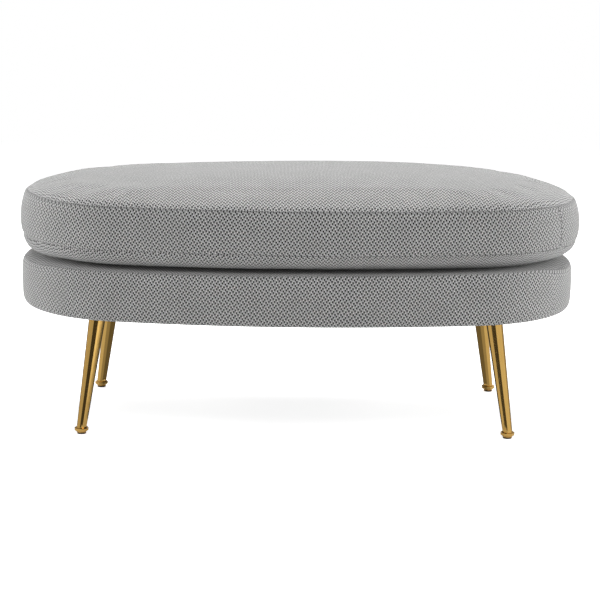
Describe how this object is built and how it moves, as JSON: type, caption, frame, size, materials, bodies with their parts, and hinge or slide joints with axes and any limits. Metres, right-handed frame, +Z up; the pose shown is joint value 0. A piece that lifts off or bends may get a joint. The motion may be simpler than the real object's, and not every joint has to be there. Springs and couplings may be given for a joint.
{
  "type": "upholstered bench",
  "caption": "Oval upholstered bench with a loose boxed cushion in grey woven fabric, a padded base and splayed gold-coloured metal legs on flanged levelling feet.",
  "frame": {"origin": "on the floor under the centre of the bench", "axes": "+X along the bench to the right as seen from the front, +Y from the front to the back, +Z up"},
  "size_m": [1, 0.5, 0.4529],
  "materials": {
    "fabric": "light grey broken-twill weave with dark pits",
    "foam": "open-cell foam",
    "wadding": "soft polyester fibre",
    "plywood": "raw plywood",
    "hardboard": "thin bent board",
    "dust_cloth": "black non-woven cloth",
    "steel": "zinc-plated",
    "gold_metal": "polished gold-coloured plating",
    "plug_plastic": "moulded",
    "pad_rubber": "matt"
  },
  "bodies": {
    "base": {"base_side_cover": "fabric", "base_top_cover": "fabric", "deck_foam_pad": "foam", "base_foam_band": "foam", "deck_board": "plywood", "lower_board": "plywood", "frame_post_left_front": "plywood", "frame_post_left_middle": "plywood", "frame_post_left_rear": "plywood", "frame_post_right_front": "plywood", "frame_post_right_middle": "plywood", "frame_post_right_rear": "plywood", "frame_rib_left": "plywood", "frame_rib_middle": "plywood", "frame_rib_right": "plywood", "base_side_hoop": "hardboard", "dust_cover": "dust_cloth", "leg_plate_front_left": "steel", "leg_plate_front_right": "steel", "leg_plate_rear_left": "steel", "leg_plate_rear_right": "steel", "leg_screw_front_left_1": "steel", "leg_screw_front_left_2": "steel", "leg_screw_front_left_3": "steel", "leg_screw_front_left_4": "steel", "leg_screw_front_right_1": "steel", "leg_screw_front_right_2": "steel", "leg_screw_front_right_3": "steel", "leg_screw_front_right_4": "steel", "leg_screw_rear_left_1": "steel", "leg_screw_rear_left_2": "steel", "leg_screw_rear_left_3": "steel", "leg_screw_rear_left_4": "steel", "leg_screw_rear_right_1": "steel", "leg_screw_rear_right_2": "steel", "leg_screw_rear_right_3": "steel", "leg_screw_rear_right_4": "steel", "leg_tube_front_left": "gold_metal", "leg_tube_front_right": "gold_metal", "leg_tube_rear_left": "gold_metal", "leg_tube_rear_right": "gold_metal", "leg_plug_front_left": "plug_plastic", "leg_plug_front_right": "plug_plastic", "leg_plug_rear_left": "plug_plastic", "leg_plug_rear_right": "plug_plastic"},
    "cushion": {"cushion_top_panel": "fabric", "cushion_side_band": "fabric", "cushion_bottom_panel": "fabric", "cushion_foam_core": "foam", "cushion_upper_wadding": "wadding", "cushion_lower_wadding": "wadding"},
    "foot_front_left": {"foot_cup_front_left": "gold_metal", "foot_pad_front_left": "pad_rubber"},
    "foot_front_right": {"foot_cup_front_right": "gold_metal", "foot_pad_front_right": "pad_rubber"},
    "foot_rear_left": {"foot_cup_rear_left": "gold_metal", "foot_pad_rear_left": "pad_rubber"},
    "foot_rear_right": {"foot_cup_rear_right": "gold_metal", "foot_pad_rear_right": "pad_rubber"}
  },
  "joints": [
    {"name": "cushion_lift", "type": "slide", "parent": "base", "child": "cushion", "axis": [0, 0, 1], "range_m": [0, 0.2]},
    {"name": "foot_level_front_left", "type": "slide", "parent": "base", "child": "foot_front_left", "axis": [0, 0, -1], "range_m": [0, 0.008]},
    {"name": "foot_level_front_right", "type": "slide", "parent": "base", "child": "foot_front_right", "axis": [0, 0, -1], "range_m": [0, 0.008]},
    {"name": "foot_level_rear_left", "type": "slide", "parent": "base", "child": "foot_rear_left", "axis": [0, 0, -1], "range_m": [0, 0.008]},
    {"name": "foot_level_rear_right", "type": "slide", "parent": "base", "child": "foot_rear_right", "axis": [0, 0, -1], "range_m": [0, 0.008]}
  ]
}
